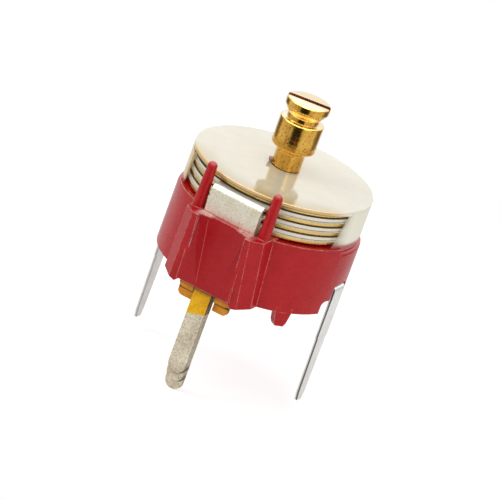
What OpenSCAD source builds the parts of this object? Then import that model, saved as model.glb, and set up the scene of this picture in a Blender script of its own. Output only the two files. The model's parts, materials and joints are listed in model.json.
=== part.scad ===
// Rotary trimmer capacitor with a film dielectric, for a printed board. Millimetres.
// The origin is on the spindle axis in the top plane of the board, +Z is up the spindle,
// and the stator pin is towards -Y.

/* [Vanes and films] */
// Number of rotor vanes; the stator has one vane fewer, between them
rotor_vanes = 4; // [3:1:5]
// Thickness of the sheet that the vanes are cut from
vane_t = 0.19; // [0.15:0.01:0.25]
// Thickness of one dielectric film
film_t = 0.05; // [0.03:0.01:0.08]
// Free play on each side of a film
film_play = 0.015; // [0.01:0.005:0.03]
// Gap from the deck of the housing to the lowest vane
deck_gap = 0.12; // [0.05:0.01:0.25]
// Gap from the highest vane to the cover
cover_gap = 0.02; // [0.02:0.01:0.1]
// How far the films reach past the edges of the vanes
film_margin = 0.05; // [0.03:0.01:0.1]
// Radius of the spacers between the rotor vanes
spacer_r = 1.2; // [1.1:0.05:1.4]
// Radial gap from a spacer to the films round it
film_hole_play = 0.06; // [0.03:0.01:0.15]
// Radial gap from a spacer to the stator vanes round it
stator_hole_play = 0.4; // [0.3:0.05:0.6]
// Width of the rotor vane that stays round the spindle past its straight edge
vane_hub_w = 0.35; // [0.2:0.05:0.6]
// Distance from the axis to the straight edge of a stator vane
stator_edge = 0.25; // [0:0.05:0.5]

/* [Stator tabs and pin] */
// Width of the tab that folds down from each stator vane
tab_w = 3.07; // [2.8:0.01:3.4]
// Gap between neighbouring tabs
tab_gap = 0.02; // [0.01:0.01:0.05]
// Outer radius of the fold at the top of a tab
tab_bend_r = 0.32; // [0.28:0.01:0.4]
// Drop from the top of a stator vane to the shoulders of its tab
shoulder_drop = 5.51; // [5.45:0.01:5.8]
// Drop from the top of a stator vane to the tip of its pin
tip_drop = 10.54; // [9.5:0.01:11.5]
// Corner radius of the shoulders
shoulder_r = 0.3; // [0.1:0.05:0.4]
// Width of the stator pin
stator_pin_w = 1.03; // [0.9:0.01:1.2]
// Width of the slit on each side of the pin
slit_w = 0.13; // [0.1:0.01:0.2]
// Height of the slit above the shoulders
slit_h = 0.9; // [0.6:0.05:1.1]
// Side play of the tabs in the housing
tab_side_play = 0.065; // [0.03:0.005:0.1]
// Front and back play of the tabs in the housing
tab_face_play = 0.03; // [0.02:0.01:0.05]

/* [Cover] */
// Outer radius of the cover
cover_r = 5; // [4.6:0.05:5.4]
// Thickness of the cover's disc
cover_t = 0.2; // [0.15:0.01:0.4]
// Rise of the cover's disc from its rim to the spindle
cover_dome = 0.13; // [0.05:0.01:0.2]
// Thickness of the cover's skirt
skirt_t = 0.16; // [0.12:0.01:0.2]
// Start of the window in the skirt, in degrees from +X
window_from = -151; // [-155:1:-135]
// End of the window in the skirt, in degrees from +X
window_to = -13; // [-20:1:-13]
// How far the skirt reaches down past the deck
skirt_lap = 0.21; // [0.15:0.01:0.3]
// Play between the cover and the housing
cover_seat_play = 0.02; // [0.01:0.01:0.04]
// Radial play between the films and the skirt
skirt_play = 0.03; // [0.02:0.01:0.05]
// Radial play between the cover and the keyed length of the spindle
cover_hole_play = 0.05; // [0.04:0.01:0.06]

/* [Housing] */
// Step from the cover out to the side of the housing
body_step = 0.15; // [0.1:0.01:0.25]
// Height of the housing's lower edge above the board
standoff_h = 0.8; // [0.6:0.05:1.2]
// Height from the housing's lower edge to its deck
body_h = 3.85; // [3.6:0.05:4.2]
// Thickness of the housing's side wall
wall_t = 0.7; // [0.55:0.05:0.75]
// Thickness of the deck
deck_t = 1.35; // [1.1:0.05:1.6]
// Radius of the rounded shoulder below the cover
shoulder_round = 0.2; // [0.1:0.02:0.26]
// Radius of the hub that carries the spindle
hub_r = 2.1; // [1.9:0.05:2.4]
// Height of the hub's lower face above the housing's lower edge
hub_rise = 1.45; // [1.35:0.05:1.6]
// Number of webs from the hub to the side wall
webs = 4; // [4:4:8]
// Thickness of a web
web_t = 0.45; // [0.3:0.05:0.6]
// Height of the lower edge of a web above the housing's lower edge
web_rise = 0.7; // [0.4:0.05:1.2]

/* [Front block] */
// Thickness of the front wall where its hollow is deepest
front_wall_t = 0.33; // [0.28:0.01:0.5]
// Depth of the hollow at the top of the front wall
front_dish = 0.3; // [0.2:0.01:0.4]
// Height of the front wall above the deck
front_wall_rise = 0.15; // [0:0.05:0.3]
// Thickness of the wall behind the tabs
slot_back_t = 0.35; // [0.3:0.05:0.6]
// How far each rib overlaps the tab slot from its side
rib_lap = 0.15; // [0.1:0.01:0.2]
// How far the ribs stand forward of the front wall at their top
rib_proud = 0.22; // [0.15:0.01:0.35]
// Width of a rib's front face at its top
rib_face_w = 0.33; // [0.25:0.01:0.5]
// Width that the slanted corner takes off a rib's front
rib_corner_w = 0.61; // [0.4:0.01:0.8]
// Depth that the slanted corner takes off a rib's side
rib_corner_d = 0.54; // [0.4:0.01:0.8]
// Backward lean of the ribs' front faces towards the board, in degrees
rib_lean = 10.3; // [6:0.1:12]
// Outward lean of the ribs' outer sides towards the board, in degrees
rib_splay = 4.2; // [2:0.1:6]
// Height of the ribs' tops above the deck
rib_rise = 0.08; // [0.05:0.01:0.15]
// How far the points of the ribs reach below the housing's lower edge
rib_drop = 0.32; // [0.2:0.02:0.5]
// Distance of a rib's point from its inner side
rib_point_x = 0.3; // [0.2:0.02:0.4]
// Distance from a post's axis to the tab slot
post_inset = 0.43; // [0.4:0.01:0.5]
// Distance of the posts' axes in front of the spindle axis
post_y = 5.15; // [5.1:0.01:5.3]
// Radius of a post at its foot
post_foot_r = 0.35; // [0.3:0.01:0.37]
// Radius of a post's round tip
post_tip_r = 0.265; // [0.2:0.005:0.29]
// Height of the posts' tips above the cover
post_rise = 0.55; // [0.3:0.05:0.9]

/* [Standoffs] */
// Directions of the standoffs, in degrees from +X
standoff_angles = [-41, 84, 152];
// Width of a standoff where it leaves the housing
standoff_w = 0.96; // [0.8:0.02:1.1]
// Width of a standoff's flat foot
standoff_foot_w = 0.5; // [0.3:0.02:0.6]
// Thickness of a standoff
standoff_t = 0.45; // [0.35:0.05:0.6]
// Height of the cut corners at the foot
standoff_corner_h = 0.2; // [0.1:0.02:0.3]

/* [Spindle] */
// Radius of the shaft where it leaves the cover
shaft_r = 0.8; // [0.75:0.01:0.85]
// Length of the shaft below the grip
shaft_l = 0.92; // [0.8:0.02:1.3]
// Gap between the cover and the shoulder of the shaft
shaft_gap = 0.06; // [0.03:0.01:0.15]
// Radius of the thick grip
grip_r = 1.21; // [1.1:0.01:1.3]
// Length of the thick grip
grip_l = 1.84; // [1.6:0.02:2.2]
// Length of the cone from the shaft out to the grip
grip_cone_l = 0.27; // [0.15:0.01:0.4]
// Chamfer at the upper end of the grip
grip_top_chamfer = 0.12; // [0.04:0.01:0.24]
// Radius of the neck
neck_r = 0.98; // [0.85:0.01:1.02]
// Length of the neck
neck_l = 0.3; // [0.2:0.05:0.5]
// Radius of the head
head_r = 1.21; // [1.1:0.01:1.24]
// Length of the cone under the head
head_cone_l = 0.42; // [0.2:0.02:0.5]
// Length of the head's round edge
head_l = 0.4; // [0.35:0.01:0.5]
// Chamfer at the top edge of the head
head_chamfer = 0.06; // [0.03:0.01:0.12]
// Width of the screwdriver slot
slot_w = 0.42; // [0.3:0.02:0.5]
// Depth of the screwdriver slot
slot_depth = 0.4; // [0.3:0.02:0.5]
// Direction of the screwdriver slot, in degrees from +X
slot_angle = 16; // [0:1:90]
// Radius of the keyed length that carries the vanes
key_r = 0.72; // [0.66:0.01:0.74]
// Half width across the flats of the keyed length
key_flat = 0.54; // [0.53:0.01:0.6]
// Radius of the journal that turns in the hub
journal_r = 0.5; // [0.45:0.01:0.52]
// Radial play of the journal in the hub
journal_play = 0.05; // [0.02:0.01:0.1]
// Radius of the riveted lower end
rivet_r = 0.8; // [0.7:0.02:0.9]
// Height of the riveted lower end
rivet_l = 0.24; // [0.15:0.01:0.3]
// Taper of the riveted lower end
rivet_taper = 0.12; // [0.05:0.01:0.15]

/* [Bush, washers and springs] */
// Radius of the bush under the rotor vanes
bush_r = 1.3; // [1.15:0.05:1.45]
// Depth of the bush's seat in the deck
bush_seat = 0.32; // [0.2:0.02:0.45]
// Radial play of the bush in its seat
bush_play = 0.1; // [0.05:0.01:0.2]
// Play between pieces that are stacked on the spindle
stack_play = 0.01; // [0.01:0.01:0.03]
// Radius of the spring washer
spring_r = 1.3; // [1.1:0.05:1.5]
// Thickness of the spring washer
spring_t = 0.12; // [0.08:0.01:0.15]
// Dish of the spring washer
spring_dish = 0.16; // [0.1:0.01:0.25]
// Radius of the retaining washer
retainer_r = 1.15; // [1:0.05:1.3]
// Thickness of the retaining washer
retainer_t = 0.18; // [0.12:0.01:0.25]

/* [Rotor terminal] */
// Distance between the centres of the two rotor pins
rotor_pin_pitch = 10.16; // [9.6:0.02:10.6]
// Thickness of the rotor terminal's strip
terminal_t = 0.16; // [0.1:0.01:0.2]
// Width of the strip
terminal_w = 1.2; // [1:0.02:1.4]
// Distance of the strip's middle behind the spindle axis
terminal_y = 0.25; // [0:0.05:0.4]
// Radius of the ring round the spindle
terminal_ring_r = 1.75; // [1.5:0.05:1.9]
// Outer radius of the folds
terminal_bend_r = 0.3; // [0.2:0.02:0.35]
// Depth of the rotor pins' tips below the board plane
rotor_tip_z = 4.67; // [3.5:0.01:5.5]
// Width of a rotor pin below its step
rotor_pin_w = 1.04; // [0.8:0.02:1.1]
// Width of a rotor pin at its tip
rotor_tip_w = 0.5; // [0.3:0.02:0.8]
// Depth of the step below the board plane
rotor_step_z = 0.8; // [0.3:0.05:1.5]
// Length of the step
rotor_step_l = 0.12; // [0.05:0.01:0.3]
// Width of a rotor pin where its point begins
rotor_point_w = 0.75; // [0.6:0.05:0.8]
// Length of the point
rotor_point_l = 0.5; // [0.3:0.05:1]
// Play between a rotor pin and its notch
notch_play = 0.25; // [0.1:0.01:0.3]
// Play above the rotor terminal's strip in its notch
notch_head_play = 0.12; // [0.05:0.01:0.2]
// Half width of the wide relief below each notch
relief_w = 1.5; // [1.35:0.05:1.6]
// Height of the wide relief above the housing's lower edge
relief_h = 0.7; // [0.5:0.05:0.9]
// Corner radius of the notch and of the relief
notch_round = 0.3; // [0.2:0.02:0.35]

/* [Hidden] */
$fn = 96;
post_fn = 48;
// how far cuts run past a face, how far shapes of one solid run into each other, and a length
// that is greater than the whole part
eps = 0.01;
over = 1;
merge = 0.25;
reach = 20;

// the stack: levels are counted from the lowest rotor vane up
stators = rotor_vanes - 1;
films = 2 * stators;
layer_pitch = vane_t + film_t + 2 * film_play;
body_z = standoff_h;
deck_z = body_z + body_h;
stack_z = deck_z + deck_gap;
stack_top = stack_z + films * layer_pitch + vane_t;
cover_z = stack_top + cover_gap;
cover_top = cover_z + cover_t;

// radii, from the cover inwards and outwards
skirt_in_r = cover_r - skirt_t;
film_r = skirt_in_r - skirt_play;
vane_r = film_r - film_margin;
body_r = cover_r + body_step;
deck_edge_r = skirt_in_r - cover_seat_play;
ledge_z = deck_z - skirt_lap - cover_seat_play;
cavity_r = body_r - wall_t;
cavity_top = deck_z - deck_t;
stator_hole_r = spacer_r + stator_hole_play;
cover_hole_r = key_r + cover_hole_play;

// the slot for the tabs, and the front wall and ribs round it
tab_in = film_r + tab_face_play;
tab_out = tab_in + stators * vane_t + (stators - 1) * tab_gap;
slot_in = tab_in - tab_face_play;
slot_out = tab_out + tab_face_play;
slot_half = tab_w / 2 + tab_side_play;
front_wall_top = deck_z + front_wall_rise;
front_wall_y = slot_out + front_wall_t + front_dish;
rib_in = slot_half - rib_lap;
rib_y = front_wall_y + rib_proud;
rib_top = deck_z + rib_rise;
rib_bottom = body_z - rib_drop;
ridge_x = rib_in + rib_face_w;
rib_h = rib_top - rib_bottom;
rib_side_x = ridge_x + rib_corner_w + rib_h * tan(rib_splay);
dish_r = (rib_in * rib_in + front_dish * front_dish) / (2 * front_dish);
dish_lean = atan(front_dish / (front_wall_top - body_z));
post_x = slot_half + post_inset;
post_tip_z = cover_top + post_rise;

// levels on the spindle, from the top of the stack up
crown_z = cover_top + cover_dome;
shaft_z = crown_z + shaft_gap;
grip_z = shaft_z + shaft_l;
neck_z = grip_z + grip_l;
cone_z = neck_z + neck_l;
head_z = cone_z + head_cone_l;
head_top = head_z + head_l;

// levels under the deck, from the hub's lower face down
hub_face = body_z + hub_rise;
bush_floor = deck_z - bush_seat;
bush_z = bush_floor + stack_play * 2;
terminal_z = hub_face - terminal_t;
spring_top = terminal_z - stack_play;
retainer_top = spring_top - spring_t - spring_dish - stack_play;
retainer_z = retainer_top - retainer_t;
rivet_z = retainer_z - rivet_l;

// the rotor pins and their notches
leg_out = (rotor_pin_pitch + terminal_t) / 2;
leg_in = leg_out - terminal_t;
notch_half = terminal_w / 2 + notch_play;
notch_top = hub_face + notch_head_play;

function rotor_level(k) = stack_z + 2 * k * layer_pitch;
function stator_level(k) = stack_z + (2 * k + 1) * layer_pitch;
function film_level(k) = stack_z + k * layer_pitch + vane_t + film_play;
function tab_face(k) = tab_in + k * (vane_t + tab_gap);

red_plastic = [0.76, 0.12, 0.15];
milky_plastic = [0.93, 0.93, 0.88, 0.55];
brass = [0.85, 0.62, 0.25];
silver = [0.8, 0.79, 0.76];
clear_film = [0.9, 0.88, 0.8, 0.6];
spring_steel = [0.6, 0.6, 0.62];

// ---- shared shapes ----

// A ring of a given height between two radii.
module ring(r_in, r_out, h) {
    difference() {
        cylinder(r = r_out, h = h);
        translate([0, 0, -over]) cylinder(r = r_in, h = h + 2 * over);
    }
}

// The half plane in front of the line y = -d, as a square that covers the vanes.
module front_half(d) {
    translate([-reach, -reach - d]) square([2 * reach, reach]);
}

// Outline of the keyed shaft: a circle with two flats.
module key_outline(play) {
    intersection() {
        circle(r = key_r + play);
        square([2 * key_r + over, 2 * (key_flat + play)], center = true);
    }
}

// A flat piece with the keyed hole, standing on its lower face.
module keyed(h) {
    linear_extrude(h) difference() {
        children();
        key_outline(stack_play);
    }
}

// Turns an outline drawn as (distance forward, height) into a strip of a given width across X.
module folded_strip(w) {
    rotate([90, 0, -90]) linear_extrude(w, center = true) children();
}

// Section of a strip that runs out to u_out at height top, folds over and starts down.
module fold_section(u_from, u_out, top, t, r) {
    translate([u_from, top - t]) square([u_out - r - u_from, t]);
    translate([u_out - r, top - r]) intersection() {
        difference() {
            circle(r = r);
            circle(r = r - t);
        }
        square(r);
    }
}

// A rectangle from (-w/2, 0) up to height h with rounded upper corners.
module arch(w, h, r) {
    translate([-w / 2, -over]) square([w, h - r + over]);
    translate([-w / 2 + r, -over]) square([w - 2 * r, h + over]);
    for (s = [-1, 1]) translate([s * (w / 2 - r), h - r]) circle(r = r);
}

// ---- housing ----

module drum() {
    // side wall up to the ledge, with its rounded shoulder
    translate([0, 0, body_z]) rotate_extrude() {
        h = ledge_z - body_z;
        square([body_r, h - shoulder_round]);
        square([body_r - shoulder_round, h]);
        translate([body_r - shoulder_round, h - shoulder_round]) intersection() {
            circle(r = shoulder_round);
            square(shoulder_round);
        }
    }
    // deck, inside the skirt
    translate([0, 0, body_z]) cylinder(r = deck_edge_r, h = body_h);
    // rim across the window, as high as the deck
    rotate([0, 0, window_from]) rotate_extrude(angle = window_to - window_from)
        translate([cavity_r, body_z]) square([wall_t, body_h]);
}

module front_wall() {
    difference() {
        translate([-rib_in - rib_lap, -front_wall_y, body_z])
            cube([2 * slot_half, front_wall_y - slot_out + eps, front_wall_top - body_z]);
        // its front leans back, so the upright hollow runs out at the lower edge
        translate([0, -front_wall_y, front_wall_top]) rotate([dish_lean, 0, 0])
            translate([-reach, -reach, -reach]) cube([2 * reach, reach, 2 * reach]);
        translate([0, front_dish - front_wall_y - dish_r, 0]) cylinder(r = dish_r, h = 2 * front_wall_top);
    }
}

module rib() {
    difference() {
        translate([rib_in, -rib_y, rib_bottom])
            cube([rib_side_x - rib_in, rib_y - cavity_r + 2 * merge, rib_h]);
        // front face, leaning back towards the board
        translate([0, -rib_y, rib_top]) rotate([rib_lean, 0, 0])
            translate([0, -reach, -reach]) cube([reach, reach, 2 * reach]);
        // slanted corner and outer side, which also lean outwards
        translate([ridge_x, -rib_y, rib_top]) rotate([rib_lean, -rib_splay, 0]) {
            rotate([0, 0, atan(rib_corner_d / rib_corner_w)])
                translate([-reach, -reach, -reach]) cube([2 * reach, reach, 2 * reach]);
            translate([rib_corner_w, -reach, -reach]) cube([reach, 2 * reach, 2 * reach]);
        }
        // lower end, cut to a point
        translate([0, reach, 0]) rotate([90, 0, 0]) linear_extrude(2 * reach) {
            polygon([
                [rib_in - eps, body_z], [rib_in - eps, rib_bottom - eps],
                [rib_in + rib_point_x, rib_bottom - eps]
            ]);
            polygon([
                [rib_in + rib_point_x, rib_bottom - eps], [rib_side_x + over, rib_bottom - eps],
                [rib_side_x + over, body_z], [rib_side_x, body_z]
            ]);
        }
    }
}

module post() {
    cone_h = post_tip_z - post_tip_r - rib_top + rib_rise;
    translate([post_x, -post_y, rib_top - rib_rise]) {
        cylinder(r1 = post_foot_r, r2 = post_tip_r, h = cone_h, $fn = post_fn);
        translate([0, 0, cone_h]) sphere(r = post_tip_r, $fn = post_fn);
    }
}

// A standoff under the side wall: it tapers, then its corners are cut off at the foot.
module standoff(angle) {
    waist = (standoff_w + standoff_foot_w) / 2;
    rotate([0, 0, angle]) translate([body_r - standoff_t - eps, 0, 0]) rotate([90, 0, 90])
        linear_extrude(standoff_t) polygon([
            [-standoff_w / 2, body_z + merge], [-standoff_w / 2, body_z], [-waist / 2, standoff_corner_h],
            [-standoff_foot_w / 2, 0], [standoff_foot_w / 2, 0], [waist / 2, standoff_corner_h],
            [standoff_w / 2, body_z], [standoff_w / 2, body_z + merge]
        ]);
}

module underside() {
    difference() {
        translate([0, 0, body_z - over]) ring(hub_r, cavity_r, cavity_top - body_z + over);
        for (k = [0:webs - 1]) rotate([0, 0, 360 / webs * (k + 0.5)])
            translate([0, -web_t / 2, body_z + web_rise]) cube([body_r, web_t, body_h]);
        // the wall behind the tab slot
        translate([-rib_side_x, -body_r, body_z - over])
            cube([2 * rib_side_x, body_r - slot_in + slot_back_t, body_h + over]);
    }
    translate([0, 0, body_z - over]) cylinder(r = hub_r + eps, h = hub_rise + over);
}

// The notch that a rotor pin comes out of, with a wide relief below it.
module pin_notch() {
    translate([cavity_r - merge, terminal_y, 0]) rotate([90, 0, 90]) linear_extrude(wall_t + over) {
        arch(2 * notch_half, notch_top, notch_round);
        arch(2 * relief_w, body_z + relief_h, notch_round);
    }
}

module housing() {
    color(red_plastic) difference() {
        union() {
            drum();
            front_wall();
            for (s = [0, 1]) mirror([s, 0, 0]) {
                rib();
                post();
            }
            for (a = standoff_angles) standoff(a);
        }
        underside();
        for (s = [0, 1]) mirror([s, 0, 0]) pin_notch();
        // slot for the tabs
        translate([-slot_half, -slot_out, -over])
            cube([2 * slot_half, slot_out - slot_in, front_wall_top + 2 * over]);
        // bearing for the journal, and the seat of the bush
        cylinder(r = journal_r + journal_play, h = deck_z + over);
        translate([0, 0, bush_floor]) cylinder(r = bush_r + bush_play, h = bush_seat + over);
    }
}

// ---- cover ----

module cover() {
    color(milky_plastic) {
        // disc, rising in a shallow cone to the hole
        rotate_extrude() polygon([
            [cover_hole_r, crown_z - cover_t], [skirt_in_r, cover_z], [cover_r, cover_z],
            [cover_r, cover_top], [skirt_in_r, cover_top], [cover_hole_r, crown_z]
        ]);
        rotate([0, 0, window_to]) rotate_extrude(angle = 360 - (window_to - window_from))
            translate([skirt_in_r, deck_z - skirt_lap])
                square([skirt_t, cover_z - deck_z + skirt_lap + cover_t / 2]);
    }
}

// ---- rotor ----

module spindle() {
    color(brass) difference() {
        rotate_extrude() polygon([
            [0, rivet_z], [rivet_r - rivet_taper, rivet_z], [rivet_r, rivet_z + rivet_l],
            [journal_r, rivet_z + rivet_l], [journal_r, bush_z], [key_r, bush_z],
            [key_r, shaft_z], [shaft_r, shaft_z], [shaft_r, grip_z],
            [grip_r, grip_z + grip_cone_l],
            [grip_r, neck_z - grip_top_chamfer], [grip_r - grip_top_chamfer, neck_z],
            [neck_r, neck_z], [neck_r, cone_z], [head_r, head_z], [head_r, head_top - head_chamfer],
            [head_r - head_chamfer, head_top], [0, head_top]
        ]);
        // flats of the keyed length
        for (s = [0, 1]) mirror([0, s, 0]) translate([-reach, key_flat, bush_z - eps])
            cube([2 * reach, reach, stack_top - bush_z + eps]);
        // screwdriver slot
        rotate([0, 0, slot_angle]) translate([-reach, -slot_w / 2, head_top - slot_depth])
            cube([2 * reach, slot_w, slot_depth + over]);
    }
}

module rotor_bush() {
    color(brass) translate([0, 0, bush_z]) keyed(stack_z - bush_z) circle(r = bush_r);
}

module rotor_vane(k) {
    color(brass) translate([0, 0, rotor_level(k)]) keyed(vane_t) union() {
        circle(r = spacer_r + vane_hub_w);
        intersection() {
            circle(r = vane_r);
            front_half(0);
        }
    }
}

module rotor_spacer(k) {
    color(brass) translate([0, 0, rotor_level(k) + vane_t])
        keyed(2 * layer_pitch - vane_t) circle(r = spacer_r);
}

module spring_washer() {
    color(spring_steel) rotate_extrude() polygon([
        [journal_r + journal_play, spring_top - spring_dish - spring_t], [spring_r, spring_top - spring_t],
        [spring_r, spring_top], [journal_r + journal_play, spring_top - spring_dish]
    ]);
}

module retaining_washer() {
    color(silver) translate([0, 0, retainer_z]) ring(journal_r + stack_play, retainer_r, retainer_t);
}

// ---- stator and films ----

// Front view of a tab from its fold down: the strip, its shoulders and slits, and the round-ended pin.
module tab_outline(top) {
    shoulder = top - shoulder_drop;
    tip = top - tip_drop;
    corner_x = tab_w / 2 - shoulder_r;
    difference() {
        union() {
            translate([-tab_w / 2, shoulder + shoulder_r])
                square([tab_w, shoulder_drop - tab_bend_r - shoulder_r]);
            translate([-corner_x, shoulder]) square([2 * corner_x, shoulder_r]);
            for (s = [-1, 1]) translate([s * corner_x, shoulder + shoulder_r]) circle(r = shoulder_r);
        }
        for (s = [-1, 1]) translate([s * (stator_pin_w + slit_w) / 2, shoulder])
            square([slit_w, 2 * slit_h], center = true);
    }
    translate([-stator_pin_w / 2, tip + stator_pin_w / 2])
        square([stator_pin_w, shoulder - tip - stator_pin_w / 2 + eps]);
    translate([0, tip + stator_pin_w / 2]) circle(r = stator_pin_w / 2);
}

// One stamped blank: a half round vane and the tab that folds down from it.
module stator_vane(k) {
    top = stator_level(k) + vane_t;
    face = tab_face(k);
    color(silver) {
        translate([0, 0, top - vane_t]) linear_extrude(vane_t) difference() {
            intersection() {
                circle(r = vane_r);
                front_half(stator_edge);
            }
            circle(r = stator_hole_r);
        }
        folded_strip(tab_w) fold_section(vane_r - wall_t, face + vane_t, top, vane_t, tab_bend_r);
        translate([0, -face, 0]) rotate([90, 0, 0]) linear_extrude(vane_t) tab_outline(top);
    }
}

module dielectric_film(k) {
    color(clear_film) translate([0, 0, film_level(k)]) ring(spacer_r + film_hole_play, film_r, film_t);
}

// ---- rotor terminal ----

// Side view of a leg: the strip comes down, steps in and tapers to its tip.
module leg_outline() {
    polygon([
        [-terminal_w / 2, hub_face - terminal_bend_r], [-terminal_w / 2, -rotor_step_z],
        [-rotor_pin_w / 2, -rotor_step_z - rotor_step_l], [-rotor_point_w / 2, rotor_point_l - rotor_tip_z],
        [-rotor_tip_w / 2, -rotor_tip_z], [rotor_tip_w / 2, -rotor_tip_z],
        [rotor_point_w / 2, rotor_point_l - rotor_tip_z], [rotor_pin_w / 2, -rotor_step_z - rotor_step_l],
        [terminal_w / 2, -rotor_step_z], [terminal_w / 2, hub_face - terminal_bend_r]
    ]);
}

module rotor_terminal() {
    color(silver) difference() {
        union() {
            translate([0, 0, terminal_z]) cylinder(r = terminal_ring_r, h = terminal_t);
            for (s = [0, 1]) mirror([s, 0, 0]) translate([0, terminal_y, 0]) {
                rotate([0, 0, 90]) folded_strip(terminal_w)
                    fold_section(0, leg_out, hub_face, terminal_t, terminal_bend_r);
                translate([leg_in, 0, 0]) rotate([90, 0, 90]) linear_extrude(terminal_t) leg_outline();
            }
        }
        translate([0, 0, terminal_z - over]) cylinder(r = journal_r + journal_play, h = 2 * over);
    }
}

// ---- output ----

housing();
cover();
spindle();
rotor_bush();
rotor_terminal();
spring_washer();
retaining_washer();
for (k = [1:rotor_vanes]) rotor_vane(k - 1);
for (k = [1:rotor_vanes - 1]) rotor_spacer(k - 1);
for (k = [1:stators]) stator_vane(k - 1);
for (k = [1:films]) dielectric_film(k - 1);
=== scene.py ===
# %% [markdown]
# # A film trimmer capacitor
# The part is about 10 mm across: a red moulded base, a stack of half-round metal vanes with clear
# films between them, a milky cover, and a slotted brass spindle that turns the rotor.
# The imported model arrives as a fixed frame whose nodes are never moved. Shapes that are already
# right keep their node and get a finish. The spindle and the cover are made again as smooth
# surfaces, because light runs along their rounded edges, and a sharp model has none.

# %% Load the frame
import json
import math

import bpy
import bmesh
import numpy as np
from mathutils import Matrix, Vector
from mathutils.bvhtree import BVHTree


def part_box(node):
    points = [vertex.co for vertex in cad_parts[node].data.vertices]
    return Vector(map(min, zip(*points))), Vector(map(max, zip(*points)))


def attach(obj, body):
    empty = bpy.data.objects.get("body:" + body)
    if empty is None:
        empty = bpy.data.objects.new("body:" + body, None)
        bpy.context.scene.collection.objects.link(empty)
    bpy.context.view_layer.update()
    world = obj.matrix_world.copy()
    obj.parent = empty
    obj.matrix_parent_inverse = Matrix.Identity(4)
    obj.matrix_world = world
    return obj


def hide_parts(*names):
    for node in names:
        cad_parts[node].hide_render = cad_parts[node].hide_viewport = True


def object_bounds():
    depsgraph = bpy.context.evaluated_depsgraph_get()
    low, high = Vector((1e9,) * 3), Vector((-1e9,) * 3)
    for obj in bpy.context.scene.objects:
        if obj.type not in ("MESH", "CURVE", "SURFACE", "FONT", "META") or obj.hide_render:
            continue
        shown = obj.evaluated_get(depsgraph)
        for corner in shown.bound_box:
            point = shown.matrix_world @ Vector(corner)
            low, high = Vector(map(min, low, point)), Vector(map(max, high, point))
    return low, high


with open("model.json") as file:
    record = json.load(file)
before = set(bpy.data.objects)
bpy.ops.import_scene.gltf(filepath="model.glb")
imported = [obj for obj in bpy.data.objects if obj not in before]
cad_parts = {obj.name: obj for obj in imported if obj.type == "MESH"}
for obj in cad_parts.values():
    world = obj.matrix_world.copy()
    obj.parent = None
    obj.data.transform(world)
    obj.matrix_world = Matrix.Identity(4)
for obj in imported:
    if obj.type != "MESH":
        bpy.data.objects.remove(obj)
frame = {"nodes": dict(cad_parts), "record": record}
nodes = frame["nodes"]
mm = 0.001
cad_box = [list(corner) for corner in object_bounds()]
size_mm = [(high - low) / mm for low, high in zip(*cad_box)]
print("frame size in mm:", [round(side, 2) for side in size_mm])

# %% [markdown]
# ## Camera
# A long lens from far away keeps parallel pins parallel. The camera stands to the right of the
# stator pin, looks down a little, and is rolled, so that the upright part leans in the image. It
# could be set by hand, but then no number would say what it looks at. Here its place follows from
# one point of the part, the centre of the cover's rim, and from the pixel where that point lies.

# %% View directions
VIEW_AZIMUTH = math.radians(19.2)
VIEW_ELEVATION = math.radians(20.6)
VIEW_ROLL = math.radians(20.2)

towards_camera = Vector((
    math.sin(VIEW_AZIMUTH) * math.cos(VIEW_ELEVATION),
    -math.cos(VIEW_AZIMUTH) * math.cos(VIEW_ELEVATION),
    math.sin(VIEW_ELEVATION),
))
level_right = Vector((math.cos(VIEW_AZIMUTH), math.sin(VIEW_AZIMUTH), 0))
level_up = towards_camera.cross(level_right)
image_right = level_right * math.cos(VIEW_ROLL) + level_up * math.sin(VIEW_ROLL)
image_up = level_up * math.cos(VIEW_ROLL) - level_right * math.sin(VIEW_ROLL)
print("the camera looks along", [round(-part, 3) for part in towards_camera])

# %% The camera
IMAGE_PX = 500
PX_PER_MM = 18.85
LENS_MM = 600.0
SENSOR_MM = 36.0
RIM_Z = 6.8
RIM_PX = (284.7, 168.8)

frame_width = IMAGE_PX / PX_PER_MM * mm
distance = frame_width * LENS_MM / SENSOR_MM
aim = (
    Vector((0, 0, RIM_Z * mm))
    + image_right * (IMAGE_PX / 2 - RIM_PX[0]) / PX_PER_MM * mm
    - image_up * (IMAGE_PX / 2 - RIM_PX[1]) / PX_PER_MM * mm
)
camera_data = bpy.data.cameras.new("camera")
camera_data.lens = LENS_MM
camera_data.sensor_width = SENSOR_MM
camera_data.clip_start = distance / 10
camera_data.clip_end = distance * 10
camera = bpy.data.objects.new("camera", camera_data)
camera_turn = Matrix((image_right, image_up, towards_camera)).transposed().to_4x4()
camera.matrix_world = Matrix.Translation(aim + towards_camera * distance) @ camera_turn
bpy.context.scene.collection.objects.link(camera)
bpy.context.scene.camera = camera
print("camera distance in mm:", round(distance / mm, 1))

# %% [markdown]
# ## Surfaces from numbers
# The turned spindle and the moulded cover are both an outline carried round the Z axis. The
# outline is a short list of corners in millimetres. Real corners are never quite sharp, so each
# one is first replaced by a small curve. A Bevel modifier could do that too, but here the curve is
# known exactly, and it stays even where faces get very thin.

# %% Outline helper
CORNER_POINTS = 5
LONGEST_CUT = 0.45


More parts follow.
